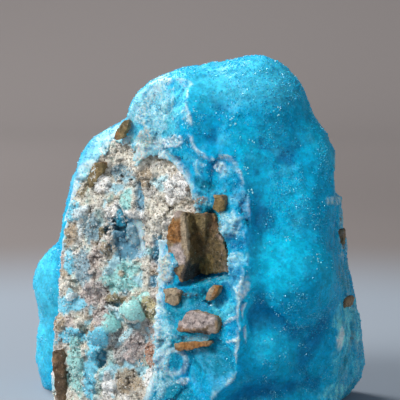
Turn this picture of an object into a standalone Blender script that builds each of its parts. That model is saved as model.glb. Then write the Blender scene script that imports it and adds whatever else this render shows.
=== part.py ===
"""A hand specimen of blue hemimorphite, standing on its cut base.

A botryoidal crust wraps a piece of brecciated rock. The front left is broken
away, so it shows the rock, the crust in section and the limonite fragments
that the crust has cemented in. Sizes in this file are millimetres, and MM
turns them into metres when a mesh is made. Everything is laid out in the
stone's own frame, and CENTRING then brings the middle of its base to the
origin.
"""

import itertools
import math

import bmesh
import bpy
import numpy as np
from mathutils import Matrix, Vector

MM = 0.001
GAP = 0.3  # between pieces that touch
CENTRING = np.array((0.45, -5.15, 0.0))

# Points deep inside the stone and the rock. A skin is found by walking in to them from REACH
STONE_HEART = np.array((-1.0, 3.0, 29.0))
ROCK_HEART = np.array((-6.0, 1.0, 26.0))
REACH = 75.0
STRIDES = 90
STRIDE = 0.5  # as a share of the distance still to go
FOOT = 7.0  # how far the stone reaches below its base before it is cut flat

# How finely each skin is divided, as cuts along a cube's edge
STONE_CUTS = 18
ROCK_CUTS = 12

# Softness of the valleys between the botryoids, and of those in the rock
VALLEY = 2.0
SETTLING = 1.0  # how far the skin is drawn in again, because soft valleys swell it
ROCK_VALLEY = 2.0

# Botryoids and the masses under them: (centre, radii)
BODY = [
    ((2, 6, 14), (26, 17, 24)),
    ((3, 5, 36), (19, 15, 22)),
    ((5, 3, 54), (12, 11, 12)),
    ((-14, 8, 30), (14.5, 13, 23)),
    ((-15.5, 8, 46), (9.2, 8.5, 10.5)),
]
TOP = [
    ((11.4, -1, 60.6), (9.8, 11, 10.7)),
    ((0, 0, 57.6), (10.5, 10.5, 11.2)),
    ((-6.8, 1, 55.6), (7.3, 8.5, 10.2)),
    ((4, 11, 57), (11, 9, 10)),
]
FRONT = [
    ((7, -6, 50.5), (9, 8.8, 9.5)),
    ((18.5, -2, 48.5), (8.7, 9, 10.6)),
    ((17.5, -7, 41.5), (8.6, 8.5, 8.5)),
    ((11, -6.5, 39), (8, 7.5, 9)),
    ((17.8, -9.5, 29), (9.3, 11.5, 10.6)),
    ((12.8, -12, 14), (6.4, 8, 6.6)),
    ((21.2, -6, 15.5), (6.2, 7.5, 7.5)),
    ((19.4, -6, 3), (7.8, 8, 7)),
    ((9.5, -8, 3), (9, 8, 8)),
]
# These are cut through by the break, and their rims stand proud of it
RIM = [
    ((2.5, -12, 42.5), (8.4, 8.5, 9)),
    ((2, -13.5, 32), (11, 9.5, 12.5)),
    ((-1.5, -13.5, 17), (13.5, 11, 13)),
    ((-8, -12, 6), (12, 10, 12)),
    ((-4, -6, 56), (8.5, 8, 9.5)),
]
LEFT_BACK = [
    ((-26.3, 19, 22.6), (8.8, 9, 9)),
    ((-25.4, 20, 7), (9.5, 9, 14)),
    ((-18, 15, 33), (9, 9, 9)),
]
BACK = [
    ((-8, 13, 52), (8, 7, 8)),
    ((-10, 20, 42), (11, 9, 11)),
    ((3, 18, 50), (10, 9, 10)),
    ((-9, 23, 26), (11, 9, 10)),
    ((-12, 23, 9), (11, 9, 11)),
    ((5, 22, 36), (9, 8, 9)),
    ((21.0, 9, 37.5), (8.5, 9, 12.5)),
    ((21.5, 12, 24), (9.6, 10, 12)),
    ((24.2, 11, 11), (10.6, 10, 14)),
    ((6, 22, 18), (12, 9, 13)),
    ((8, 20, 4), (12, 10, 8)),
    ((21, 2, 18), (12.5, 13, 19)),
]
LOBES = BODY + TOP + FRONT + RIM + LEFT_BACK + BACK
DOMES = (7.0, 0.6, 7)  # the small botryoids on them: size across, height, seed

# The rock inside, before it was broken: (centre, radii)
ROCK_SLAB = [
    ((-9.5, 5, 25), (18.5, 15, 33)),
    ((-14, 3, 6), (16, 13, 20)),
]
ROCK_LUMPS = [
    ((-7, -7, 43), (7, 9, 8)),
    ((12, 10, 20), (16, 6.5, 26)),
    ((-9.5, 4, 48), (7.6, 8, 12)),
    ((10, 15, 24), (15, 9, 20)),
]
ROCK_ROLL = (11.0, 0.8, 60)  # the swells of its sides: size across, height, seed

# Flat faces: (a point on it, the way that it faces). The slab of rock ends at ROCK_EDGE
ROCK_EDGE = ((-9.0, -10.4, 20), (0.83, -0.55, 0))
FRONT_BREAK = ((8, -23, 4), (-0.551, -0.829, 0.096))
LEFT_BREAK = ((-29.0, 4, 20), (-0.80, -0.60, 0.0))
BACK_BREAK = ((16, 22, 24), (0.45, 0.88, 0.12))
# The right break is the lowest of two faces that meet in a dent, and a third below them
RIGHT_BREAKS = [
    ((26.9, -9.5, 29), (1.0, -0.15, 0.05)),
    ((26.9, -9.5, 29), (1.0, -0.15, 0.20)),
]
RIGHT_LOW_BREAK = ((27.0, -8.0, 14), (1.0, -0.40, 0.0))
RIGHT_ROUGHNESS = 0.4  # as a share of the other breaks'
RIGHT_BREAK_TOP = 41.0
RIGHT_BREAK_FRONT = -9.0
LEDGE = (26.4, 42.3)  # right of the first, the stone ends in a ledge as high as the second
ROCK_RECESS = 1.3  # the softer rock broke this much deeper than the crust
BREAK_ROLL = (10.0, 1.2, 40)  # the swells of every break: size across, height, seed
BREAK_FACETS = (6.5, 1.2, 50)  # and its flat facets
BREAK_SWELL = ((1.5, -12.5, 59.0), 8.0, 3.0)  # where it swells out past the skin: place, size, height

# Hollows in the broken faces: (centre, radii)
HOLLOWS = [
    ((-14.5, -5.5, 52.6), (2.4, 3.4, 1.9)),
    ((-16.5, -5.5, 21.8), (3.2, 3.2, 1.2)),
    ((-13.5, -6.0, 36.0), (4.2, 3.0, 6.0)),
    ((-12.5, -9.5, 16.0), (4.0, 4.0, 10.0)),
    ((-20.0, -4.5, 10.3), (2.2, 2.6, 2.2)),
]
# Nodules of crust in the rock: (centre, radii)
NODULES = [
    ((-13.3, -6.2, 20.8), (2.0, 2.0, 2.2)),
    ((-19.0, -2.6, 16.2), (3.4, 2.4, 3.0)),
]

# Limonite fragments, each in its own frame, where X is along the break, Y is into the stone and Z is
# up: (centre, turn about Z in degrees, front and back, outline across and up clockwise, seed)
CHIPS = {
    "limonite_block": (
        (0.3, -11.9, 34.8), -34, (-3.3, 4.5),
        [
            (-4.0, 6.7), (3.7, 7.1), (6.9, -1.0), (7.1, -5.2),
            (-3.3, -7.4), (-5.9, -4.2), (-6.4, 0.1), (-6.1, 3.4),
        ],
        3,
    ),
    "limonite_knob": (
        (3.8, -14.7, 43.0), -34, (-2.0, 2.5),
        [(-0.2, 2.3), (1.8, 2.4), (2.4, 0.9), (1.8, -0.7), (0.7, -1.3), (-0.3, -0.6)],
        11,
    ),
    "limonite_wedge": (
        (0.5, -14.0, 20.1), -34, (-3.8, 2.5),
        [(-4.0, -1.9), (-3.3, 0.1), (-1.8, 1.9), (-0.2, 3.0), (5.1, 2.2), (6.0, 0.9), (5.8, -1.2)],
        24,
    ),
    "limonite_sliver": (
        (-1.0, -14.0, 15.6), -34, (-3.2, 2.0),
        [(-3.0, 0.5), (-0.4, 1.1), (5.7, 1.9), (5.2, 0.8), (0.6, -0.5), (-2.7, -1.0)],
        35,
    ),
    "limonite_splinter": (
        (2.4, -16.0, 24.9), -34, (-1.8, 1.8),
        [(1.2, 3.2), (2.8, 3.2), (2.2, 1.6), (0.6, -0.2), (-0.8, 0.2), (0.0, 2.0)],
        46,
    ),
    "limonite_cube": (
        (-4.8, -10.4, 24.4), -34, (-2.3, 2.2),
        [(-1.4, 1.8), (0.8, 2.2), (2.7, 1.8), (2.2, -0.8), (1.0, -1.3), (-0.9, -0.9)],
        90,
    ),
    "limonite_blade": (
        (-15.2, 0.4, 55.9), -34, (-2.7, 1.5),
        [(2.1, 2.8), (3.3, 3.1), (2.8, 1.1), (1.4, -1.0), (-0.1, -1.7), (-0.6, -0.9), (0.4, 1.0)],
        57,
    ),
    "limonite_flake": (
        (-19.9, 2.3, 46.8), -34, (-2.0, 1.8),
        [(-0.6, 2.8), (2.4, 3.4), (1.9, 1.6), (0.1, -1.0), (-1.4, -2.3), (-1.9, -0.7), (-1.4, 1.4)],
        68,
    ),
    "limonite_slab": (
        (-27.0, 3.2, 6.1), -34, (-3.0, 3.0),
        [(-1.4, -5.7), (-1.2, 5.2), (0.6, 5.8), (1.4, 4.6), (1.3, -5.7)],
        79,
    ),
    "limonite_spall": (
        (28.6, 2.0, 34.5), 79, (-0.6, 1.6),
        [(-2.0, -1.2), (-1.4, 1.6), (0.6, 2.0), (1.8, 0.6), (1.4, -1.6)],
        101,
    ),
    "limonite_nib": (
        (29.6, -1.0, 21.9), 68, (-0.7, 1.6),
        [(-3.0, -0.9), (-2.4, 0.9), (2.0, 1.1), (3.2, 0.2), (2.4, -1.1)],
        112,
    ),
}
CHIP_BLANK = 40.0  # the cube that every fragment is sliced from
TAPER = 0.15  # the sides close in this much towards the back
FRONT_TILT = 0.12  # the two faces of each front lean this much at most

# The block's right side is broken open. Behind its ridge the open face is this deep at the middle's
# height, and it rises to the right and to the top
BLOCK_RIDGES = ((-1.0, -0.13), (0.1, 0.40))  # the two lines of the ridge: across at Z = 0, and lean
BLOCK_DEEP = 1.35
BLOCK_SLOPE = 0.42
BLOCK_RISE = 0.31

# Rough noise: each layer's fineness and weight, and the multipliers that scramble a cell's number
LAYERS = ((1.0, 0.55), (2.1, 0.30), (4.3, 0.15))
SCRAMBLE = (374761393, 668265263, 2147483647, 974634777)
STIR = (2246822519, 3266489917)
WORD = 0xFFFFFFFF

CRUST_BLUE = (0.02, 0.42, 0.68, 1)
ROCK_CREAM = (0.50, 0.46, 0.38, 1)
LIMONITE_BROWN = (0.16, 0.085, 0.03, 1)


def clear_scene():
    for obj in list(bpy.data.objects):
        bpy.data.objects.remove(obj, do_unlink=True)


def ellipsoid(points, centre, radii):
    """About how far points are outside an ellipsoid, negative inside."""
    radii = np.array(radii, float)
    share = (points - np.array(centre, float)) / radii
    size = np.linalg.norm(share, axis=1) + 1e-9
    slope = np.linalg.norm(share / radii, axis=1) + 1e-9
    return size * (size - 1) / slope


def blended(points, shapes, softness):
    """About how far points are outside many ellipsoids that flow together."""
    total = np.zeros(len(points))
    for centre, radii in shapes:
        total += np.exp(-ellipsoid(points, centre, radii) / softness)
    return -softness * np.log(np.maximum(total, 1e-30))


def lattice(cells, seed):
    """A repeatable number from 0 to 1 for every whole-numbered cell."""
    x, y, z = np.moveaxis(cells.astype(np.int64), -1, 0)
    mixed = x * SCRAMBLE[0] + y * SCRAMBLE[1] + z * SCRAMBLE[2] + seed * SCRAMBLE[3] & WORD
    mixed = (mixed ^ mixed >> 15) * STIR[0] & WORD
    mixed = (mixed ^ mixed >> 13) * STIR[1] & WORD
    return (mixed ^ mixed >> 16) / WORD


def noise(points, size, seed):
    """Smooth noise from -1 to 1, with lumps about size across."""
    grid = points / size
    cell = np.floor(grid)
    part = grid - cell
    ease = part * part * (3 - 2 * part)
    total = np.zeros(len(points))
    for corner in itertools.product((0, 1), repeat=3):
        weight = np.prod(np.where(corner, ease, 1 - ease), axis=1)
        total += weight * lattice(cell + corner, seed)
    return 2 * total - 1


def ragged(points, size, seed):
    """Rough noise from about -1 to 1: broad lumps with finer ones on them."""
    layers = [
        weight * noise(points, size / fineness, seed + k)
        for k, (fineness, weight) in enumerate(LAYERS)
    ]
    return sum(layers)


def nearby_cells(points, size):
    """For every point, the offsets to it from the cells around it, with each cell."""
    grid = points / size
    cell = np.floor(grid)
    for step in itertools.product((-1, 0, 1), repeat=3):
        near = cell + step
        yield near, grid - near


def bubbles(points, size, seed):
    """Rounded domes, one to a cell about size across: 1 at a dome's top, 0 in the valleys."""
    nearest = np.full(len(points), 9.0)
    for near, offset in nearby_cells(points, size):
        spot = np.stack([lattice(near, seed + k) for k in range(3)], axis=-1)
        nearest = np.minimum(nearest, np.linalg.norm(offset - spot, axis=1))
    return np.clip(1 - nearest * nearest, 0, 1)


def chiselled(points, size, seed):
    """Flat facets of broken stone, each about size across and tilted its own way."""
    nearest = np.full(len(points), 9.0)
    height = np.zeros(len(points))
    for near, offset in nearby_cells(points, size):
        drawn = [lattice(near, seed + k) for k in range(7)]
        away = offset - np.stack(drawn[:3], axis=-1)
        distance = np.linalg.norm(away, axis=1)
        tilt = 2 * np.stack(drawn[3:6], axis=-1) - 1
        facet = (away * tilt).sum(1) + 1.4 * (drawn[6] - 0.5)
        height = np.where(distance < nearest, facet, height)
        nearest = np.minimum(nearest, distance)
    return height


def beyond(points, face):
    """How far points are beyond a flat face."""
    spot, facing = np.array(face, float)
    return (points - spot) @ (facing / np.linalg.norm(facing))


def step_up(values, low, high):
    """0 below low, 1 above high and smooth between."""
    share = np.clip((values - low) / (high - low), 0, 1)
    return share * share * (3 - 2 * share)


def relief(points):
    """The steps and rolls of the broken faces."""
    roll, roll_height, roll_seed = BREAK_ROLL
    facet, facet_height, facet_seed = BREAK_FACETS
    rough = roll_height * ragged(points, roll, roll_seed)
    rough += facet_height * chiselled(points, facet, facet_seed)
    place, size, height = BREAK_SWELL
    near = 1 - step_up(np.linalg.norm(points - np.array(place), axis=1) / size, 0.5, 1.2)
    return rough * (1 - near) - height * near


def broken(points, recess):
    """How far points are beyond the broken faces, which lie deeper by the recess."""
    rough = relief(points) + recess
    front = beyond(points, FRONT_BREAK) + rough
    left = beyond(points, LEFT_BREAK) + rough
    upper = np.minimum(*[beyond(points, face) for face in RIGHT_BREAKS])
    flank = np.maximum(upper, beyond(points, RIGHT_LOW_BREAK)) + RIGHT_ROUGHNESS * rough
    limits = np.minimum(RIGHT_BREAK_TOP - points[:, 2], points[:, 1] - RIGHT_BREAK_FRONT)
    ledge = np.minimum(points[:, 0] - LEDGE[0], points[:, 2] - LEDGE[1]) + 0.2 * rough
    right = np.maximum(np.minimum(flank, limits), ledge)
    back = beyond(points, BACK_BREAK) + rough
    faces = np.maximum(np.maximum(front, left), np.maximum(right, back))
    for centre, radii in HOLLOWS:
        faces = np.maximum(faces, -ellipsoid(points, centre, radii))
    return faces


def stone_skin(points):
    """How far points are outside the whole stone, as the crust's skin and breaks bound it."""
    dome, height, seed = DOMES
    lumps = blended(points, LOBES, VALLEY) + SETTLING - height * bubbles(points, dome, seed)
    return np.maximum(np.maximum(lumps, broken(points, 0.0)), -FOOT - points[:, 2])


def rock_inside(points):
    """How far points are outside the unbroken rock that the crust grew on."""
    size, height, seed = ROCK_ROLL
    slab = np.maximum(blended(points, ROCK_SLAB, ROCK_VALLEY), beyond(points, ROCK_EDGE))
    lumps = blended(points, ROCK_LUMPS, ROCK_VALLEY)
    return np.minimum(slab, lumps) + height * ragged(points, size, seed)


def rock_skin(points):
    """How far points are outside the rock as it is left, with its breaks."""
    rock = np.maximum(rock_inside(points), broken(points, ROCK_RECESS))
    nodules = np.maximum(blended(points, NODULES, 0.3), rock_inside(points))
    return np.maximum(np.minimum(rock, nodules), -FOOT - points[:, 2])


def found_skin(outside, heart, directions):
    """How far from the heart each direction first meets the skin, coming from outside."""
    reach = np.full(len(directions), REACH)
    for _ in range(STRIDES):
        reach -= STRIDE * outside(heart + directions * reach[:, None])
    return reach


def mesh_object(name, mesh, colour, roughness):
    obj = bpy.data.objects.new(name, mesh)
    bpy.data.collections["hemimorphite"].objects.link(obj)
    material = bpy.data.materials.new(name)
    material.use_nodes = True
    shader = material.node_tree.nodes["Principled BSDF"]
    shader.inputs["Base Color"].default_value = colour
    shader.inputs["Roughness"].default_value = roughness
    shader.inputs["Metallic"].default_value = 0.0
    material.diffuse_color = colour
    mesh.materials.append(material)
    return obj


def finished_mesh(name, shape):
    """The shape as a mesh of triangles that face out, in metres."""
    bmesh.ops.triangulate(shape, faces=shape.faces[:])
    bmesh.ops.recalc_face_normals(shape, faces=shape.faces[:])
    bmesh.ops.transform(shape, matrix=Matrix.Scale(MM, 4), verts=shape.verts[:])
    mesh = bpy.data.meshes.new(name)
    shape.to_mesh(mesh)
    shape.free()
    return mesh


def sliced(shape, spot, facing):
    """Cuts away what is beyond a plane and closes the cut with one face."""
    everything = shape.verts[:] + shape.edges[:] + shape.faces[:]
    bmesh.ops.bisect_plane(
        shape, geom=everything, plane_co=spot, plane_no=facing, clear_outer=True
    )
    rim = [edge for edge in shape.edges if edge.is_boundary]
    bmesh.ops.contextual_create(shape, geom=rim)


def skinned(name, cuts, outside, heart, swell=0.0, flat=True):
    """A cube, finely divided, whose points are moved out to a skin, plus swell."""
    shape = bmesh.new()
    bmesh.ops.create_cube(shape, size=2)
    bmesh.ops.subdivide_edges(shape, edges=shape.edges[:], cuts=cuts, use_grid_fill=True)
    bmesh.ops.triangulate(shape, faces=shape.faces[:], quad_method="FIXED")
    corners = np.array([v.co for v in shape.verts])
    # Equal angles between the cuts keep the triangles alike from a face's middle to its corners
    directions = np.tan(corners * math.pi / 4)
    directions /= np.linalg.norm(directions, axis=1)[:, None]
    reach = found_skin(outside, heart, directions)
    points = heart + directions * (reach + swell)[:, None]
    for vert, point in zip(shape.verts, points + CENTRING):
        vert.co = Vector(point)
    if flat:
        sliced(shape, Vector((0, 0, 0)), Vector((0, 0, -1)))
    return finished_mesh(name, shape)


def fragment_faces(ends, outline, seed):
    """A fragment's flat faces in its own frame: the way that each faces and how far out it is."""
    scatter = np.random.default_rng(seed)
    front, back = ends
    corners = np.array([(across, front, up) for across, up in outline])
    runs = np.roll(corners, -1, axis=0) - corners
    runs /= np.linalg.norm(runs, axis=1)[:, None]
    sides = [(-up, TAPER, across) for across, _, up in runs]
    tilts = scatter.uniform(-FRONT_TILT, FRONT_TILT, (2, 2))
    fronts = [(across, -1, up) for across, up in tilts]
    facings = np.array([*sides, *fronts, (0, 1, 0)])
    middle = corners.mean(0)
    places = np.array([*corners, middle, middle, (0, back, 0)])
    facings /= np.linalg.norm(facings, axis=1)[:, None]
    return facings, (facings * places).sum(1)


def sliced_cube(name, facings, depths):
    """What is left of a cube inside flat faces, each facing its way at its depth."""
    shape = bmesh.new()
    bmesh.ops.create_cube(shape, size=CHIP_BLANK)
    for facing, depth in zip(facings, depths):
        sliced(shape, Vector(facing * depth), Vector(facing))
    return finished_mesh(name, shape)


def notch_mesh(name, start, lean):
    """The part of the block's open notch to the right of one line of its ridge."""
    facings = np.array([(-1, 0, lean), (BLOCK_SLOPE, 1, BLOCK_RISE - BLOCK_SLOPE * lean)])
    depths = np.array([-start, BLOCK_DEEP + BLOCK_SLOPE * start])
    sizes = np.linalg.norm(facings, axis=1)
    return sliced_cube(name, facings / sizes[:, None], depths / sizes)


def placed(obj, centre, turn):
    obj.location = Vector(np.array(centre) + CENTRING) * MM
    obj.rotation_euler = (0, 0, math.radians(turn))
    return obj


def cutter(name, mesh):
    obj = bpy.data.objects.new(name, mesh)
    bpy.data.collections["cutters"].objects.link(obj)
    obj.hide_render = True
    obj.display_type = "WIRE"
    return obj


def cut(obj, tool, name):
    modifier = obj.modifiers.new(name, "BOOLEAN")
    modifier.operation = "DIFFERENCE"
    modifier.object = tool


def make_chips(crust, matrix):
    """The limonite fragments, each in a pocket of its own in the crust and the rock."""
    for name, (centre, turn, ends, outline, seed) in CHIPS.items():
        facings, depths = fragment_faces(ends, outline, seed)
        chip = mesh_object(name, sliced_cube(name, facings, depths), LIMONITE_BROWN, 0.8)
        placed(chip, centre, turn)
        pocket = cutter(name + "_pocket", sliced_cube(name + "_pocket", facings, depths + GAP))
        placed(pocket, centre, turn)
        cut(crust, pocket, name)
        cut(matrix, pocket, name)


def open_block():
    """Cuts the open notch into the block's right side."""
    centre, turn = CHIPS["limonite_block"][:2]
    for number, (start, lean) in enumerate(BLOCK_RIDGES):
        name = f"notch_{number}"
        notch = placed(cutter(name, notch_mesh(name, start, lean)), centre, turn)
        cut(bpy.data.objects["limonite_block"], notch, name)


def main():
    clear_scene()
    for name in ("hemimorphite", "cutters"):
        collection = bpy.data.collections.new(name)
        bpy.context.scene.collection.children.link(collection)
    crust_mesh = skinned("hemimorphite_crust", STONE_CUTS, stone_skin, STONE_HEART)
    crust = mesh_object("hemimorphite_crust", crust_mesh, CRUST_BLUE, 0.35)
    bed_mesh = skinned("rock_bed", ROCK_CUTS, rock_inside, ROCK_HEART, GAP, flat=False)
    bed = cutter("rock_bed", bed_mesh)
    cut(crust, bed, "rock_bed")
    rock_mesh = skinned("rock_matrix", ROCK_CUTS, rock_skin, ROCK_HEART)
    matrix = mesh_object("rock_matrix", rock_mesh, ROCK_CREAM, 0.9)
    make_chips(crust, matrix)
    open_block()


main()
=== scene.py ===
"""The looks of the hemimorphite specimen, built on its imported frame.

The crust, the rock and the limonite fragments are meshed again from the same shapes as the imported
solids, with the finer relief that the solids leave out, and crystals and grains are set on them.
Sizes here are millimetres in the stone's own frame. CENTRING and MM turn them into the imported
part's frame. Places on the broken front are given as pixels of the photograph, which is 400 wide,
and the camera's own numbers turn them into places on the stone.
"""

import itertools
import math

import bmesh
import bpy
import numpy as np
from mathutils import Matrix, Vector
from mathutils.bvhtree import BVHTree


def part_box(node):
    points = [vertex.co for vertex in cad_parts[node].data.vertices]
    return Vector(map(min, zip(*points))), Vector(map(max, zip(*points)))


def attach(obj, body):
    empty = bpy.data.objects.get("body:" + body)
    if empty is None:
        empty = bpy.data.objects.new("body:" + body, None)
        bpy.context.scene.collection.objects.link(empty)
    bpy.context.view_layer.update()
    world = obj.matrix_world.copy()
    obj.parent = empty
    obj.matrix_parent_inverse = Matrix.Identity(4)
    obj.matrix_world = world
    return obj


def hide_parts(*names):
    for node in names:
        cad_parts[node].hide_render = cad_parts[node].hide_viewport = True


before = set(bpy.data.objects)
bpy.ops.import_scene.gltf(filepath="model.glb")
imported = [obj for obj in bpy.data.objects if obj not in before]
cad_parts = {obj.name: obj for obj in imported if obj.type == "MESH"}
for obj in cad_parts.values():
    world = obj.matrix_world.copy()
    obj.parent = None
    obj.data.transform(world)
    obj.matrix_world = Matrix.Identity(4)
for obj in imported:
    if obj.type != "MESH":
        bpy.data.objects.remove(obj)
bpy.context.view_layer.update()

MM = 0.001
CENTRING = np.array((0.45, -5.15, 0.0))

# How fine the meshes are. The rock's broken faces are divided once more, and so are the crust's, but
# those only in front of DIVIDED_TO along Y
CRUST_PITCH = 0.62
ROCK_PITCH = 0.52
DIVIDED_TO = 8.0
DIVIDED_DEPTH = 2.6  # how far under its broken faces the rock is divided
VALLEY_ROUNDS = 40  # rounds of smoothing that find the crust's valleys
CHIP_PITCH = 0.28
CHUNK = 3  # points along the side of a chunk of the lattice, which is first judged by its middle
CHUNK_REACH = 1.4  # how near the surface that middle must be for a closer look, in chunk sides
AWAY = 9.0
MARGIN = 3.0  # how far the lattice reaches beyond a solid's box

# The camera of the photograph: it looks along +Y and slightly down
PHOTO_SIDE = 400
CAMERA_TARGET = np.array((0.0, 0.0, 42.3))
CAMERA_DISTANCE = 400.0
CAMERA_ELEVATION = math.radians(7.0)
LENS = 180.0
SENSOR = 36.0

# Botryoids and the masses under them: (centre, radii)
LOBES = [
    ((2, 6, 14), (26, 17, 24)),
    ((3, 5, 36), (19, 15, 22)),
    ((5, 3, 54), (12, 11, 12)),
    ((-14, 8, 30), (14.5, 13, 23)),
    ((-15.5, 8, 46), (9.2, 8.5, 10.5)),
    ((11.4, -1, 60.6), (9.8, 11, 10.7)),
    ((0, 0, 57.6), (10.5, 10.5, 11.2)),
    ((-6.8, 1, 55.6), (7.3, 8.5, 10.2)),
    ((4, 11, 57), (11, 9, 10)),
    ((7, -6, 50.5), (9, 8.8, 9.5)),
    ((18.5, -2, 48.5), (8.7, 9, 10.6)),
    ((17.5, -7, 41.5), (8.6, 8.5, 8.5)),
    ((11, -6.5, 39), (8, 7.5, 9)),
    ((17.8, -9.5, 29), (9.3, 11.5, 10.6)),
    ((12.8, -12, 14), (6.4, 8, 6.6)),
    ((21.2, -6, 15.5), (6.2, 7.5, 7.5)),
    ((19.4, -6, 3), (7.8, 8, 7)),
    ((9.5, -8, 3), (9, 8, 8)),
    ((2.5, -12, 42.5), (8.4, 8.5, 9)),
    ((2, -13.5, 32), (11, 9.5, 12.5)),
    ((-1.5, -13.5, 17), (13.5, 11, 13)),
    ((-8, -12, 6), (12, 10, 12)),
    ((-4, -6, 56), (8.5, 8, 9.5)),
    ((-26.3, 19, 22.6), (8.8, 9, 9)),
    ((-25.4, 20, 7), (9.5, 9, 14)),
    ((-18, 15, 33), (9, 9, 9)),
    ((-8, 13, 52), (8, 7, 8)),
    ((-10, 20, 42), (11, 9, 11)),
    ((3, 18, 50), (10, 9, 10)),
    ((-9, 23, 26), (11, 9, 10)),
    ((-12, 23, 9), (11, 9, 11)),
    ((5, 22, 36), (9, 8, 9)),
    ((21.0, 9, 37.5), (8.5, 9, 12.5)),
    ((21.5, 12, 24), (9.6, 10, 12)),
    ((24.2, 11, 11), (10.6, 10, 14)),
    ((6, 22, 18), (12, 9, 13)),
    ((8, 20, 4), (12, 10, 8)),
    ((21, 2, 18), (12.5, 13, 19)),
]
VALLEY = 2.0
SETTLING = 1.0  # how far the skin is drawn in again, because soft valleys swell it
DOMES = (7.0, 0.6, 7)  # the small botryoids on them: size across, height, seed
PIMPLES = (3.4, 0.35, 17)  # and the smaller ones on those

# The rock inside, before it was broken: (centre, radii)
ROCK_SLAB = [
    ((-9.5, 5, 25), (18.5, 15, 33)),
    ((-14, 3, 6), (16, 13, 20)),
]
ROCK_LUMPS = [
    ((-7, -7, 43), (7, 9, 8)),
    ((12, 10, 20), (16, 6.5, 26)),
    ((-9.5, 4, 48), (7.6, 8, 12)),
    ((10, 15, 24), (15, 9, 20)),
]
ROCK_VALLEY = 2.0
ROCK_ROLL = (11.0, 0.8, 60)

# Flat faces: (a point on it, the way that it faces)
ROCK_EDGE = ((-9.0, -10.4, 20), (0.83, -0.55, 0))
FRONT_BREAK = ((8, -23, 4), (-0.551, -0.829, 0.096))
LEFT_BREAK = ((-29.0, 4, 20), (-0.80, -0.60, 0.0))
BACK_BREAK = ((16, 22, 24), (0.45, 0.88, 0.12))
# The right break is the lowest of two faces that meet in a dent, and a third below them
RIGHT_BREAKS = [
    ((26.9, -9.5, 29), (1.0, -0.15, 0.05)),
    ((26.9, -9.5, 29), (1.0, -0.15, 0.20)),
]
RIGHT_LOW_BREAK = ((27.0, -8.0, 14), (1.0, -0.40, 0.0))
RIGHT_ROUGHNESS = 0.4  # as a share of the other breaks'
RIGHT_BREAK_TOP = 41.0
RIGHT_BREAK_FRONT = -9.0
LEDGE = (26.4, 42.3)  # right of the first, the stone ends in a ledge as high as the second
ROCK_RECESS = 1.3
FLUSH = (-24.0, -14.0)  # the rock is level with the crust left of these and recessed right of them
PIT = 3.0  # how deep the crust is hollowed under the rock that shows
LAP = 0.3  # how far the rock and the crust reach into each other
BREAK_ROLL = (10.0, 1.2, 40)
BREAK_FACETS = (6.5, 1.2, 50)
BREAK_SWELL = ((1.5, -12.5, 59.0), 8.0, 3.0)  # where it swells out past the skin: place, size, height
HOLLOWS = [
    ((-14.5, -5.5, 52.6), (2.4, 3.4, 1.9)),
    ((-16.5, -5.5, 21.8), (3.2, 3.2, 1.2)),
    ((-13.5, -6.0, 36.0), (4.2, 3.0, 6.0)),
    ((-12.5, -9.5, 16.0), (4.0, 4.0, 10.0)),
    ((-20.0, -4.5, 10.3), (2.2, 2.6, 2.2)),
]
NODULES = [
    ((-13.3, -6.2, 20.8), (2.0, 2.0, 2.2)),
    ((-19.0, -2.6, 16.2), (3.4, 2.4, 3.0)),
]
ROCK_CLASTS = (2.6, 0.55, 71)  # the smaller facets of the broken rock: size, height, seed

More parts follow.
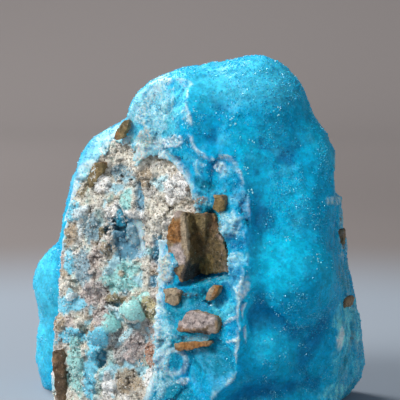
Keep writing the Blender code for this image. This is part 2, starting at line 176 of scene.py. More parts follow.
# Limonite fragments, each in its own frame, where X is along the break, Y is into the stone and Z is
# up: (centre, turn about Z in degrees, front and back, outline across and up clockwise, seed)
BLOCK = (
    (0.3, -11.9, 34.8), -34, (-3.3, 4.5),
    [
        (-4.0, 6.7), (3.7, 7.1), (6.9, -1.0), (7.1, -5.2),
        (-3.3, -7.4), (-5.9, -4.2), (-6.4, 0.1), (-6.1, 3.4),
    ],
    3,
)
CHIPS = {
    "limonite_knob": (
        (3.8, -14.7, 43.0), -34, (-2.0, 2.5),
        [(-0.2, 2.3), (1.8, 2.4), (2.4, 0.9), (1.8, -0.7), (0.7, -1.3), (-0.3, -0.6)],
        11,
    ),
    "limonite_wedge": (
        (0.5, -14.0, 20.1), -34, (-3.8, 2.5),
        [(-4.0, -1.9), (-3.3, 0.1), (-1.8, 1.9), (-0.2, 3.0), (5.1, 2.2), (6.0, 0.9), (5.8, -1.2)],
        24,
    ),
    "limonite_sliver": (
        (-1.0, -14.0, 15.6), -34, (-3.2, 2.0),
        [(-3.0, 0.5), (-0.4, 1.1), (5.7, 1.9), (5.2, 0.8), (0.6, -0.5), (-2.7, -1.0)],
        35,
    ),
    "limonite_splinter": (
        (2.4, -16.0, 24.9), -34, (-1.8, 1.8),
        [(1.2, 3.2), (2.8, 3.2), (2.2, 1.6), (0.6, -0.2), (-0.8, 0.2), (0.0, 2.0)],
        46,
    ),
    "limonite_cube": (
        (-4.8, -10.4, 24.4), -34, (-2.3, 2.2),
        [(-1.4, 1.8), (0.8, 2.2), (2.7, 1.8), (2.2, -0.8), (1.0, -1.3), (-0.9, -0.9)],
        90,
    ),
    "limonite_blade": (
        (-15.2, 0.4, 55.9), -34, (-2.7, 1.5),
        [(2.1, 2.8), (3.3, 3.1), (2.8, 1.1), (1.4, -1.0), (-0.1, -1.7), (-0.6, -0.9), (0.4, 1.0)],
        57,
    ),
    "limonite_flake": (
        (-19.9, 2.3, 46.8), -34, (-2.0, 1.8),
        [(-0.6, 2.8), (2.4, 3.4), (1.9, 1.6), (0.1, -1.0), (-1.4, -2.3), (-1.9, -0.7), (-1.4, 1.4)],
        68,
    ),
    "limonite_slab": (
        (-27.0, 3.2, 6.1), -34, (-3.0, 3.0),
        [(-1.4, -5.7), (-1.2, 5.2), (0.6, 5.8), (1.4, 4.6), (1.3, -5.7)],
        79,
    ),
    "limonite_spall": (
        (28.6, 2.0, 34.5), 79, (-0.6, 1.6),
        [(-2.0, -1.2), (-1.4, 1.6), (0.6, 2.0), (1.8, 0.6), (1.4, -1.6)],
        101,
    ),
    "limonite_nib": (
        (29.6, -1.0, 21.9), 68, (-0.7, 1.6),
        [(-3.0, -0.9), (-2.4, 0.9), (2.0, 1.1), (3.2, 0.2), (2.4, -1.1)],
        112,
    ),
}
TAPER = 0.15  # the sides close in this much towards the back
FRONT_TILT = 0.12  # the two faces of each front lean this much at most

# The block's right side is broken open. Behind its ridge the open face is this deep at the middle's
# height, and it rises to the right and to the top
BLOCK_RIDGES = ((-1.0, -0.13), (0.1, 0.40))  # the two lines of the ridge: across at Z = 0, and lean
BLOCK_DEEP = 1.35
BLOCK_SLOPE = 0.42
BLOCK_RISE = 0.31
BLOCK_ROUGH = (2.4, 0.35, 93)  # its broken faces: size across, height, seed
NOTCH_CLEARANCE = 0.9

LAYERS = ((1.0, 0.55), (2.1, 0.30), (4.3, 0.15))
SCRAMBLE = (374761393, 668265263, 2147483647, 974634777)
STIR = (2246822519, 3266489917)
WORD = 0xFFFFFFFF

# Colours, as linear red, green and blue
AZURE = (0.0, 0.45, 0.77)
BRIGHT = (0.004, 0.62, 0.92)
DEEP = (0.0, 0.21, 0.47)
MILKY = (0.12, 0.72, 0.93)
PALE = (0.52, 0.82, 0.90)
TEAL = (0.004, 0.28, 0.43)
FROST = (0.78, 0.92, 0.96)
ICE = (0.26, 0.92, 1.0)
CREAM = (0.74, 0.71, 0.62)
WHITE = (0.96, 0.96, 0.94)
GREY = (0.34, 0.34, 0.34)
ROSE = (0.50, 0.42, 0.40)
TAN = (0.42, 0.33, 0.22)
OLIVE = (0.24, 0.18, 0.075)
RUST = (0.36, 0.15, 0.03)
UMBER = (0.10, 0.06, 0.03)
GOLD = (0.30, 0.20, 0.065)
# olive brown darkened with painted shade, for the block's open hollow
OLIVE_IN_SHADE = (0.125, 0.085, 0.03)
EARTH = (0.29, 0.20, 0.11)
# Near black: painted shade in the slot, crack, pits and the block's hollow, painted shadow under the
# wedge, and elsewhere the own colour of black grains and blotches
SHADOW = (0.03, 0.028, 0.026)
POOL = (0.09, 0.32, 0.47)
SLATE = (0.20, 0.36, 0.44)
SKY = (0.12, 0.56, 0.75)
TURQUOISE = (0.30, 0.66, 0.64)
BRICK = (0.44, 0.22, 0.14)
STRAW = (0.46, 0.40, 0.20)

# What shows on the broken rock: name, colour, middle and half size in photo pixels, lean in degrees,
# how far it stands out in millimetres, and how smooth it is
ROCK_MARKS = [
    ("grey_top", GREY, (140, 138), (8, 18), 14, 0.2, 0.0),
    ("cream_top", CREAM, (137, 160), (12, 14), 0, 0.2, 0.0),
    ("ash", SLATE, (121, 173), (11, 9), 0, 0.0, 0.3),
    ("chalk", WHITE, (103, 184), (9, 9), 20, 0.3, 0.0),
    ("snow", WHITE, (115, 212), (10, 12), 0, 0.3, 0.0),
    ("glaze", TURQUOISE, (127, 200), (6, 12), 0, 0.2, 0.6),
    ("tan_top", TAN, (145, 178), (9, 12), 0, 0.1, 0.0),
    ("cream_right", CREAM, (156, 220), (11, 30), 0, 0.2, 0.0),
    ("milk", PALE, (163, 184), (12, 9), 0, 0.3, 0.4),
    ("crust_white", WHITE, (176, 192), (12, 18), 0, 0.3, 0.0),
    ("band", SKY, (72, 212), (13, 10), -20, 0.4, 0.6),
    ("band_white", FROST, (80, 212), (8, 5), -30, 0.5, 0.2),
    ("tan_left", TAN, (68, 234), (10, 13), 0, 0.0, 0.0),
    ("stripe", FROST, (80, 229), (2.5, 8), -10, 0.4, 0.0),
    ("dusk", SLATE, (93, 229), (11, 15), 0, -0.3, 0.5),
    ("olive_grain", OLIVE, (102, 232), (3, 7), 0, 0.3, 0.0),
    ("tan_mid", TAN, (108, 248), (9, 8), 0, 0.1, 0.0),
    ("channel", POOL, (139, 200), (5, 17), -6, -1.2, 0.8),
    ("pool", POOL, (127, 236), (19, 24), -8, -1.0, 0.9),
    ("pool_deep", TEAL, (122, 222), (4, 15), -10, -1.0, 0.9),
    ("pool_light", SLATE, (132, 234), (6, 11), -20, 0.3, 0.8),
    ("lid", WHITE, (135, 214), (10, 3.5), 8, 0.5, 0.0),
    ("oval_top", POOL, (157, 249), (6, 14), 8, -0.7, 0.9),
    ("oval_low", POOL, (153, 281), (6, 5.5), 0, -0.3, 0.9),
    ("rind", ROSE, (60, 260), (5, 12), 0, 0.1, 0.0),
    ("drip", SKY, (70, 266), (6, 14), 0, 0.2, 0.7),
    ("pebbles", CREAM, (62, 284), (8, 9), 0, 0.3, 0.0),
    ("mist", SLATE, (82, 270), (10, 20), 0, 0.0, 0.4),
    ("foam", TURQUOISE, (120, 278), (21, 15), -10, 0.3, 0.7),
    ("foam_white", PALE, (110, 270), (6, 6), 0, 0.3, 0.3),
    ("foam_tan", TAN, (121.5, 274), (3, 4), 0, 0.3, 0.0),
    ("cream_seam", CREAM, (146, 272), (4, 22), 4, 0.3, 0.0),
    ("rose_rock", ROSE, (95, 294), (14, 13), -20, 0.3, 0.0),
    ("rose_low", ROSE, (100, 316), (10, 10), -20, 0.2, 0.0),
    ("brow", OLIVE, (120, 299), (12, 5), 6, 0.5, 0.0),
    # painted shadow in the slot under the brow, which is also cut in
    ("slot", SHADOW, (116, 304.5), (9, 2.6), -4, -2.6, 0.0),
    ("lip", FROST, (115, 309), (9, 2.5), 18, 0.4, 0.0),
    ("arm", TURQUOISE, (144, 298), (8, 4), -35, 0.4, 0.9),
    ("nodule_right", TURQUOISE, (133, 311), (9.5, 9.5), 0, 0.9, 1.0),
    ("nodule_left", TURQUOISE, (110, 330), (9.5, 14), 28, 0.8, 1.0),
    ("straw_rock", STRAW, (150, 309), (7.5, 12), -8, 0.4, 0.0),
    ("sky_left", SKY, (68, 304), (17, 9), 0, 0.3, 0.7),
    ("sky_white", FROST, (72, 296), (6, 4), 0, 0.4, 0.2),
    ("sky_low", SKY, (98, 340), (10, 12), 10, 0.4, 0.8),
    ("sky_wide", SKY, (72, 336), (14, 9), 0, 0.2, 0.7),
    ("pocket", TEAL, (101, 359), (6, 9), 20, -1.0, 0.9),
    ("chip_left", TAN, (60, 325), (5, 8), 0, 0.5, 0.0),
    ("grey_rock", GREY, (127, 345), (17, 20), 25, 0.2, 0.0),
    ("grey_rose", ROSE, (133, 350), (9, 16), 25, 0.4, 0.0),
    ("grey_white", PALE, (124, 338), (3, 15), 42, 0.3, 0.0),
    ("brick", BRICK, (151.5, 354), (5, 13), 0, 0.5, 0.0),
    ("tan_low", TAN, (128, 380), (14, 14), 0, 0.2, 0.0),
    ("white_low", WHITE, (108, 384), (8, 16), 0, 0.4, 0.0),
    ("fall", SKY, (91, 376), (8, 26), 0, 0.2, 0.8),
    ("moss", TURQUOISE, (75, 368), (8, 32), 0, 0.2, 0.1),
    ("white_foot", WHITE, (150, 380), (6, 10), 0, 0.3, 0.0),
    ("dark_fleck", UMBER, (190, 188), (3, 3), 0, 0.3, 0.0),
    ("vee_left", OLIVE, (79, 191), (1.8, 10), -20, 0.3, 0.0),
    ("vee_right", OLIVE, (85, 190), (1.8, 11), 20, 0.3, 0.0),
    ("olive_small", OLIVE, (69, 202), (3, 5), 20, 0.3, 0.0),
]
ROCK_MARKS += [
    ("speck", SHADOW, pixel, (2.2, 2.2), 0, -0.5, 0.0)
    for pixel in ((122, 176), (121, 181), (131, 181), (149, 185), (170, 209))
]

# How far beyond the breaks the marks fade in: on the crust's front, the rock's front and its left
CRUST_MARKED = (-8.0, -6.0)
ROCK_MARKED = (-7.0, -5.5)
ROCK_MARKED_LEFT = (-4.0, -3.0)
ROCK_MARKED_TO = 12.0  # the rock has none behind this along Y
FOOT = (0.2, 1.2)  # the heights over which the relief fades in above the base

# Ragged patches on the rock: colour, size across, seed, the noise where they start and are full, and
# strength. The fragments' seeds are counted from each one's own
ROCK_STAINS = [
    (ROSE, 7.0, 600, 0.0, 0.4, 0.8),
    (GREY, 5.0, 610, 0.15, 0.5, 0.7),
    (TAN, 4.0, 620, 0.2, 0.5, 0.8),
    (WHITE, 3.0, 630, 0.2, 0.55, 0.7),
]
TOP_STAINS = [(TURQUOISE, 2.5, 650, 0.25, 0.5, 0.5)]
CHIP_STAINS = [
    (RUST, 4.0, 0, -0.1, 0.4, 0.8),
    (OLIVE, 3.0, 5, 0.0, 0.4, 0.8),
    (ROSE, 2.2, 10, 0.1, 0.5, 0.6),
    (UMBER, 2.4, 15, 0.1, 0.45, 0.8),
]

# Marks on the crust's broken rim, in the form of ROCK_MARKS
RIM_MARKS = [
    ("veil_wide", MILKY, (154, 115), (24, 46), 22, 0.0, 0.4),
    ("white_fall", FROST, (150, 100), (5, 26), 32, 0.3, 0.0),
    ("white_top", FROST, (167, 82), (7, 4), -20, 0.3, 0.0),
    ("veil", PALE, (158, 112), (13, 32), 12, 0.2, 0.2),
    ("cream_band", CREAM, (143, 142), (8, 18), 10, 0.2, 0.0),
    ("join", FROST, (113, 144), (20, 8), -45, 0.0, 0.0),
    ("veil_blue", SLATE, (156, 148), (4, 18), 6, -0.3, 0.6),
    ("net", FROST, (170, 142), (15, 6), -14, 0.3, 0.0),
    ("net_low", FROST, (162, 156), (4, 8), 10, 0.3, 0.0),
    ("flake_white", FROST, (221, 167), (8, 5), 24, 0.7, 0.2),
    ("lake", AZURE, (212, 190), (20, 13), 30, 0.0, 0.8),
    ("teal_left", TEAL, (205, 186), (10, 5), 20, -0.4, 0.9),
    ("fan_top", PALE, (230, 226), (12, 13), -20, 0.2, 0.1),
    ("granules", DEEP, (234, 243), (13, 7), 0, 0.0, 0.0),
    ("fan_low", PALE, (236, 260), (13, 8), -8, 0.3, 0.1),
    ("column_deep", DEEP, (236, 274), (12, 6), 8, -0.3, 0.3),
    ("column_dark", DEEP, (227, 287), (7, 5), 0, -0.2, 0.3),
    ("column_frost", FROST, (243, 289), (6, 13), 14, 0.4, 0.0),
    ("column_mid", MILKY, (226, 312), (12, 12), -30, 0.1, 0.2),
    ("column_low", DEEP, (233, 331), (7, 6), 0, -0.3, 0.3),
    ("seam", FROST, (230, 320), (12, 2), -30, 0.3, 0.0),
    ("seam_low", FROST, (233, 341), (8, 2), -10, 0.3, 0.0),
    ("bay", TEAL, (190, 298), (22, 9), 0, -0.5, 0.8),
    ("bay_left", TEAL, (176, 312), (7, 8), 0, -0.4, 0.8),
    ("step", PALE, (163, 350), (7, 45), 0, 0.3, 0.2),
    ("step_frost", FROST, (158, 320), (2.5, 50), 1, 0.5, 0.0),
    ("under_wedge", SLATE, (193, 338), (17, 3), 0, -0.5, 0.6),
    ("lowland", AZURE, (206, 368), (27, 24), 10, 0.0, 0.7),
    ("lowland_teal", TEAL, (214, 360), (18, 18), 20, 0.0, 0.8),
    ("spot", FROST, (183, 381), (6, 3), -10, 0.2, 0.0),
    ("cream_step", CREAM, (167, 268), (7, 17), 0, 0.3, 0.0),
    ("red_fleck", RUST, (201, 201), (7, 3.5), -15, 0.3, 0.0),
    ("narrow_fleck", OLIVE, (219, 225), (2.5, 5.5), -10, 0.2, 0.0),
    ("crack_fleck", UMBER, (191, 295), (9, 2.5), 3, 0.2, 0.0),
    # painted shade in a crack, which is also cut in a little
    ("crack_shade", SHADOW, (207, 302), (4, 2.5), 35, -0.3, 0.0),
]
RING = ((174, 362), 12.0, 3.5)  # the pale ring on the rim: middle, radius and width in photo pixels

# The same for the broken right flank, which begins between these two places along X
FLANK_START = (21.0, 23.0)
UPRIGHT = (1.0, 1.0, 0.25)  # makes a noise into upright stripes
FLANK_MARKS = [
    ("ledge", PALE, (334, 200), (10, 5), 0, 0.0, 0.1),
    ("flank_olive", OLIVE, (343, 219), (4, 6), 0, 0.1, 0.0),
    ("flank_brown", TAN, (344, 240), (4, 10), 0, 0.1, 0.0),
    ("flank_teal", TEAL, (345, 275), (7, 16), 0, 0.0, 0.3),
    ("flank_columns", ICE, (347, 322), (14, 22), 8, 0.2, 0.0),
    ("flank_dark", SLATE, (353, 330), (3, 14), 10, -0.2, 0.2),
    ("flank_frost", FROST, (341, 337), (3, 15), 10, 0.2, 0.0),
    ("flank_low", MILKY, (348, 368), (14, 18), 0, 0.0, 0.4),
    ("flank_deep", TEAL, (342, 366), (5, 12), 20, 0.0, 0.5),
    ("flank_foot", ICE, (338, 392), (18, 9), -10, 0.2, 0.0),
]

# Painted light and shade on the skin: painted highlights and lighter stretches where light falls on
# the domes, the top and the left, and painted shade in the gullies: name, colour, middle, half size,
# lean, strength
SOFT_EDGE = (0.35, 1.35)
SKIN_LIGHT_AND_SHADE = [
    ("dome_glow", BRIGHT, (280, 262), (34, 38), 0, 0.9),
    ("top_glow", MILKY, (240, 82), (66, 28), 0, 0.5),
    ("low_glow", BRIGHT, (265, 342), (24, 24), 0, 0.5),
    ("left_glow", PALE, (118, 127), (14, 84), 38, 0.55),
    ("lobe_glow", MILKY, (44, 300), (16, 90), 0, 0.6),
    ("gully_shade", DEEP, (250, 215), (12, 34), 0, 0.6),
    ("diagonal_shade", DEEP, (312, 342), (9, 40), 28, 0.8),
    ("foot_gully_shade", DEEP, (268, 388), (22, 12), 0, 0.7),
    ("shoulder_gully_shade", DEEP, (288, 154), (11, 10), 0, 0.5),
]

# Marks on the limonite fragments, in the form of ROCK_MARKS, with no relief and no smoothness
CHIP_MARKS = [
    ("block_rust", RUST, (173, 229), (10, 14), 0, 0.0, 0.0),
    ("block_rose", ROSE, (177, 256), (12, 11), 0, 0.0, 0.0),
    ("block_top", OLIVE, (197, 224), (13, 11), 0, 0.0, 0.0),
    # the block's open hollow: its own olive brown, darkened with painted shade
    ("block_hollow_and_shade", OLIVE_IN_SHADE, (204, 254), (19, 27), -10, 0.0, 0.0),
    ("block_grey", TAN, (185, 234), (4, 22), -5, 0.0, 0.0),
    # painted shadow at the bottom of the block's hollow
    ("block_shadow", SHADOW, (191, 274), (13, 11), 0, 0.0, 0.0),
    ("block_gold", GOLD, (208, 268), (7, 14), 0, 0.0, 0.0),
    ("knob_gold", GOLD, (218, 204), (7, 10), 0, 0.0, 0.0),
    ("wedge_rose", ROSE, (196, 320), (21, 9), 0, 0.0, 0.0),
    # painted shadow under the wedge
    ("wedge_shadow", SHADOW, (196, 333), (18, 3), 0, 0.0, 0.0),
    ("sliver_rust", RUST, (194, 346), (18, 5), 0, 0.0, 0.0),
    ("cube_grey", TAN, (171, 296), (8, 11), 0, 0.0, 0.0),
    ("splinter_tan", TAN, (211, 294), (6, 10), 30, 0.0, 0.0),
    ("splinter_rust", RUST, (216, 291), (4, 10), 30, 0.0, 0.0),
    ("blade_olive", OLIVE, (124, 130), (9, 13), 0, 0.0, 0.0),
    ("flake_olive", OLIVE, (98, 176), (12, 15), 0, 0.0, 0.0),
    ("slab_umber", UMBER, (62, 380), (8, 30), 0, 0.0, 0.0),
]

# White grains on the crust: place in photo pixels, how many, size in millimetres
GRAINS = [
    ((187, 125), 9, 0.9),
    ((247, 168), 8, 0.8),
    ((251, 193), 5, 0.9),
    ((195, 110), 8, 0.6),
    ((233, 120), 9, 0.8),
    ((317, 260), 12, 0.8),
    ((288, 240), 9, 0.7),
    ((319, 205), 5, 0.6),
    ((319, 216), 5, 0.6),
    ((330, 268), 4, 0.6),
    ((277, 315), 6, 0.6),
    ((283, 330), 5, 0.5),
    ((301, 345), 6, 0.5),
    ((284, 357), 6, 0.5),
    ((264, 377), 6, 0.5),
    ((275, 393), 7, 0.6),
    ((234, 152), 3, 0.5),
    ((275, 112), 6, 0.7),
    ((252, 142), 5, 0.6),
    ((338, 336), 9, 0.7),
    ((335, 366), 5, 0.6),
    ((258, 100), 4, 0.5),
]
GRAIN_SPREAD = 2.6  # photo pixels

CRYSTAL_IOR = 1.61
CROWD = 1.0  # the share of the crystals and the grit that is made

# Crystals all over the crust: name, how many, how thick they lie where there is no sugar, size,
# colour, seed, and the level of a noise of clusters below which there are none
SUGARS = [
    ("crust_sugar", 24000, 0.10, 0.42, BRIGHT, 700, -2.0),
    # the glints are real crystals, with painted sparkle in their pale colour
    ("crust_glints", 9000, 0.02, 0.36, ICE, 720, 0.05),
]

# Grit on the broken rock: how many grains, and their size
GRIT_COUNT = 24000
GRIT_SIZE = 0.55

# The stage and the lights, in metres
FLOOR_NEAR = (0.255, 0.295, 0.345)
FLOOR_FAR = (0.175, 0.154, 0.148)
FLOOR_TOP = (0.35, 0.315, 0.305)
FLOOR_CHANGE = (0.12, 0.24)  # how far from the middle the floor's colour turns
FLOOR_RISE = (0.30, 0.80)  # and how far off it turns lighter again, up the backdrop
STAGE_FRONT = 1.2
STAGE_BACK = 0.60
STAGE_BEND = 0.25
STAGE_TOP = 1.6
STAGE_HALF_WIDTH = 1.6
STAGE_STEPS = 16
LIGHT_TARGET = (0.0, 0.0, 0.035)
LIGHTS = [
    ("key", (-0.45, -0.30, 0.55), 0.35, 5.4, (1.0, 0.98, 0.95)),
    ("back", (-0.30, 0.35, 0.50), 0.30, 3.8, (1.0, 1.0, 1.0)),
    ("fill", (0.55, -0.60, 0.30), 0.60, 0.9, (0.93, 0.97, 1.0)),
]
WORLD_COLOUR = (0.85, 0.90, 1.0)
WORLD_STRENGTH = 0.22


def ellipsoid(points, centre, radii):
    """About how far points are outside an ellipsoid, negative inside."""
    radii = np.array(radii, float)
    share = (points - np.array(centre, float)) / radii
    size = np.linalg.norm(share, axis=1) + 1e-9
    slope = np.linalg.norm(share / radii, axis=1) + 1e-9
    return size * (size - 1) / slope


def blended(points, shapes, softness):
    """About how far points are outside many ellipsoids that flow together."""
    total = np.zeros(len(points))
    for centre, radii in shapes:
        total += np.exp(-ellipsoid(points, centre, radii) / softness)
    return -softness * np.log(np.maximum(total, 1e-30))


def lattice(cells, seed):
    """A repeatable number from 0 to 1 for every whole-numbered cell."""
    x, y, z = np.moveaxis(cells.astype(np.int64), -1, 0)
    mixed = x * SCRAMBLE[0] + y * SCRAMBLE[1] + z * SCRAMBLE[2] + seed * SCRAMBLE[3] & WORD
    mixed = (mixed ^ mixed >> 15) * STIR[0] & WORD
    mixed = (mixed ^ mixed >> 13) * STIR[1] & WORD
    return (mixed ^ mixed >> 16) / WORD


def noise(points, size, seed):
    """Smooth noise from -1 to 1, with lumps about size across."""
    grid = points / size
    cell = np.floor(grid)
    part = grid - cell
    ease = part * part * (3 - 2 * part)
    total = np.zeros(len(points))
    for corner in itertools.product((0, 1), repeat=3):
        weight = np.prod(np.where(corner, ease, 1 - ease), axis=1)
        total += weight * lattice(cell + corner, seed)
    return 2 * total - 1


def ragged(points, size, seed):
    """Rough noise from about -1 to 1: broad lumps with finer ones on them."""
    layers = [
        weight * noise(points, size / fineness, seed + k)
        for k, (fineness, weight) in enumerate(LAYERS)
    ]
    return sum(layers)


def nearby_cells(points, size):
    """For every point, the offsets to it from the cells around it, with each cell."""
    grid = points / size
    cell = np.floor(grid)
    for step in itertools.product((-1, 0, 1), repeat=3):
        near = cell + step
        yield near, grid - near


def bubbles(points, size, seed):
    """Rounded domes, one to a cell about size across: 1 at a dome's top, 0 in the valleys."""
    nearest = np.full(len(points), 9.0)
    for near, offset in nearby_cells(points, size):
        spot = np.stack([lattice(near, seed + k) for k in range(3)], axis=-1)
        nearest = np.minimum(nearest, np.linalg.norm(offset - spot, axis=1))
    return np.clip(1 - nearest * nearest, 0, 1)


def chiselled(points, size, seed):
    """Flat facets of broken stone, each about size across and tilted its own way."""
    nearest = np.full(len(points), 9.0)
    height = np.zeros(len(points))
    for near, offset in nearby_cells(points, size):
        drawn = [lattice(near, seed + k) for k in range(7)]
        away = offset - np.stack(drawn[:3], axis=-1)
        distance = np.linalg.norm(away, axis=1)
        tilt = 2 * np.stack(drawn[3:6], axis=-1) - 1
        facet = (away * tilt).sum(1) + 1.4 * (drawn[6] - 0.5)
        height = np.where(distance < nearest, facet, height)
        nearest = np.minimum(nearest, distance)
    return height


def beyond(points, face):
    """How far points are beyond a flat face."""
    spot, facing = np.array(face, float)
    return (points - spot) @ (facing / np.linalg.norm(facing))


def relief(points):
    """The steps and rolls of the broken faces."""
    roll, roll_height, roll_seed = BREAK_ROLL
    facet, facet_height, facet_seed = BREAK_FACETS
    rough = roll_height * ragged(points, roll, roll_seed)
    rough += facet_height * chiselled(points, facet, facet_seed)
    place, size, height = BREAK_SWELL
    near = 1 - step_up(np.linalg.norm(points - np.array(place), axis=1) / size, 0.5, 1.2)
    return rough * (1 - near) - height * near


def broken(points, rough):
    """How far points are beyond the broken faces, with rough added to them."""
    front = beyond(points, FRONT_BREAK) + rough
    left = beyond(points, LEFT_BREAK) + rough
    upper = np.minimum(*[beyond(points, face) for face in RIGHT_BREAKS])
    flank = np.maximum(upper, beyond(points, RIGHT_LOW_BREAK)) + RIGHT_ROUGHNESS * rough
    limits = np.minimum(RIGHT_BREAK_TOP - points[:, 2], points[:, 1] - RIGHT_BREAK_FRONT)
    ledge = np.minimum(points[:, 0] - LEDGE[0], points[:, 2] - LEDGE[1]) + 0.2 * rough
    right = np.maximum(np.minimum(flank, limits), ledge)
    back = beyond(points, BACK_BREAK) + rough
    faces = np.maximum(np.maximum(front, left), np.maximum(right, back))
    for centre, radii in HOLLOWS:
        faces = np.maximum(faces, -ellipsoid(points, centre, radii))
    return faces


def lumps(points):
    """How far points are outside the crust's skin, before anything broke."""
    skin = blended(points, LOBES, VALLEY) + SETTLING
    for size, height, seed in (DOMES, PIMPLES):
        skin -= height * bubbles(points, size, seed)
    return skin


def rock_inside(points):
    """How far points are outside the unbroken rock that the crust grew on."""
    size, height, seed = ROCK_ROLL
    slab = np.maximum(blended(points, ROCK_SLAB, ROCK_VALLEY), beyond(points, ROCK_EDGE))
    masses = blended(points, ROCK_LUMPS, ROCK_VALLEY)
    return np.minimum(slab, masses) + height * ragged(points, size, seed)


def fragment_faces(ends, outline, seed):
    """A fragment's flat faces in its own frame: the way that each faces and how far out it is."""
    scatter = np.random.default_rng(seed)
    front, back = ends
    corners = np.array([(across, front, up) for across, up in outline])
    runs = np.roll(corners, -1, axis=0) - corners
    runs /= np.linalg.norm(runs, axis=1)[:, None]
    sides = [(-up, TAPER, across) for across, _, up in runs]
    tilts = scatter.uniform(-FRONT_TILT, FRONT_TILT, (2, 2))
    fronts = [(across, -1, up) for across, up in tilts]
    facings = np.array([*sides, *fronts, (0, 1, 0)])
    middle = corners.mean(0)
    places = np.array([*corners, middle, middle, (0, back, 0)])
    facings /= np.linalg.norm(facings, axis=1)[:, None]
    return facings, (facings * places).sum(1)


def in_fragment(points, centre, turn):
    """Points in a fragment's own frame."""
    angle = math.radians(turn)
    across = np.array((math.cos(angle), math.sin(angle), 0.0))
    into = np.array((-math.sin(angle), math.cos(angle), 0.0))
    return (points - np.array(centre)) @ np.stack([across, into, (0, 0, 1)], axis=1)


def fragment_shape(points, fragment):
    """How far points are outside a fragment."""
    centre, turn, ends, outline, seed = fragment
    facings, depths = fragment_faces(ends, outline, seed)
    return (in_fragment(points, centre, turn) @ facings.T - depths).max(1)


def notch_shape(points):
    """How far points are outside the open notch in the block."""
    across, into, up = in_fragment(points, *BLOCK[:2]).T
    notch = np.full(len(points), AWAY)
    for start, lean in BLOCK_RIDGES:
        right = across - start - lean * up
        face = into - BLOCK_DEEP + BLOCK_SLOPE * right + BLOCK_RISE * up
        notch = np.minimum(notch, np.maximum(-right, face))
    return notch


def left_free(points):
    """How far points are inside what stays free: round the block's notch, and under the base."""
    notch = NOTCH_CLEARANCE - np.maximum(fragment_shape(points, BLOCK), notch_shape(points))
    return np.maximum(notch, -points[:, 2])


def crust_skin(points):
    """How far points are outside the crust, which is hollowed where the rock shows."""
    rough = relief(points)
    stone = np.maximum(lumps(points), broken(points, rough))
    pit = np.minimum(-rock_inside(points) - LAP, broken(points, rough + PIT))
    return np.maximum(np.maximum(stone, pit), left_free(points))


def rock_skin(points):
    """How far points are outside the rock, with its breaks and their smaller facets."""
    clast, height, seed = ROCK_CLASTS
    recess = ROCK_RECESS * step_up(points[:, 0], *FLUSH)
    rough = relief(points) + recess + height * chiselled(points, clast, seed)
    inside = rock_inside(points)
    rock = np.maximum(inside, broken(points, rough))
    nodules = np.maximum(blended(points, NODULES, 0.3), inside)
    return np.maximum(np.minimum(rock, nodules), left_free(points))


def sampled(outside, low, high, pitch):
    """The values of outside() on a lattice, worked out finely only near the surface."""
    chunk = CHUNK * pitch
    chunks = np.ceil((high - low) / chunk).astype(int)
    middles = np.indices(chunks).reshape(3, -1).T * chunk + low + (chunk - pitch) / 2
    rough = outside(middles)
    near = np.abs(rough) < CHUNK_REACH * chunk
    steps = np.indices((CHUNK,) * 3).reshape(3, -1).T
    values = np.repeat(np.where(rough < 0, -AWAY, AWAY)[:, None], len(steps), axis=1)
    corners = middles[near] - (chunk - pitch) / 2
    fine = (corners[:, None] + steps * pitch).reshape(-1, 3)
    values[near] = outside(fine).reshape(-1, len(steps))
    values = values.reshape(*chunks, CHUNK, CHUNK, CHUNK).transpose(0, 3, 1, 4, 2, 5)
    return values.reshape(chunks * CHUNK)


def one_body(points, faces):
    """The largest connected part of a surface, without specks and closed pockets."""
    label = np.arange(len(points))
    settled_labels = False
    while not settled_labels:
        lowest = np.repeat(label[faces].min(1), faces.shape[1])
        joined = label.copy()
        np.minimum.at(joined, faces.ravel(), lowest)
        joined = joined[joined]
        settled_labels = (joined == label).all()
        label = joined
    kept = label == np.bincount(label).argmax()
    number = np.cumsum(kept) - 1
    return points[kept], number[faces[kept[faces[:, 0]]]]


def netted(outside, low, high, pitch):
    """Points and four-sided faces of a closed surface where outside() is zero."""
    low, high = np.array(low, float), np.array(high, float)
    values = sampled(outside, low, high, pitch)
    inside = values < 0
    cells = []
    places = []
    for axis in range(3):
        here = [slice(None)] * 3
        there = [slice(None)] * 3
        here[axis] = slice(0, -1)
        there[axis] = slice(1, None)
        spots = np.argwhere(inside[tuple(here)] != inside[tuple(there)])
        step = np.eye(3, dtype=int)[axis]
        side, up = np.roll(step, 1), np.roll(step, 2)
        start = values[tuple(spots.T)]
        end = values[tuple((spots + step).T)]
        around = np.stack([spots, spots - side, spots - side - up, spots - up], axis=1)
        around[start > 0] = around[start > 0][:, ::-1]
        cells.append(around.reshape(-1, 3))
        crossing = spots + step * (start / (start - end))[:, None]
        places.append(np.repeat(crossing, 4, axis=0))
    cells, places = np.concatenate(cells), np.concatenate(places)
    number = np.ravel_multi_index(cells.T, values.shape)
    _, index, count = np.unique(number, return_inverse=True, return_counts=True)
    sums = [np.bincount(index.ravel(), places[:, k]) for k in range(3)]
    points = np.stack(sums, axis=1) / count[:, None]
    return one_body(low + points * pitch, index.reshape(-1, 4))


def made_mesh(name, points, faces):
    """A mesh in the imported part's frame from points in the stone's own."""
    mesh = bpy.data.meshes.new(name)
    mesh.from_pydata(((points + CENTRING) * MM).tolist(), [], faces.tolist())
    mesh.update()
    return mesh


def remeshed(name, node, outside, pitch):
    """A mesh of the surface where outside() is zero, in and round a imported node's box."""
    low, high = (np.array(corner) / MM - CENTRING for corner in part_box(node))
    return made_mesh(name, *netted(outside, low - MARGIN, high + MARGIN, pitch))


def gathered(items, name, width, kind=float):
    """One property of all the items, as a row of width numbers for each."""
    flat = np.empty(len(items) * width, kind)
    items.foreach_get(name, flat)
    return flat.reshape(-1, width)


def points_of(mesh):
    return gathered(mesh.vertices, "co", 3) / MM - CENTRING


def normals_of(mesh):
    return gathered(mesh.vertices, "normal", 3)


def set_points(mesh, points):
    mesh.vertices.foreach_set("co", ((points + CENTRING) * MM).ravel())
    mesh.update()


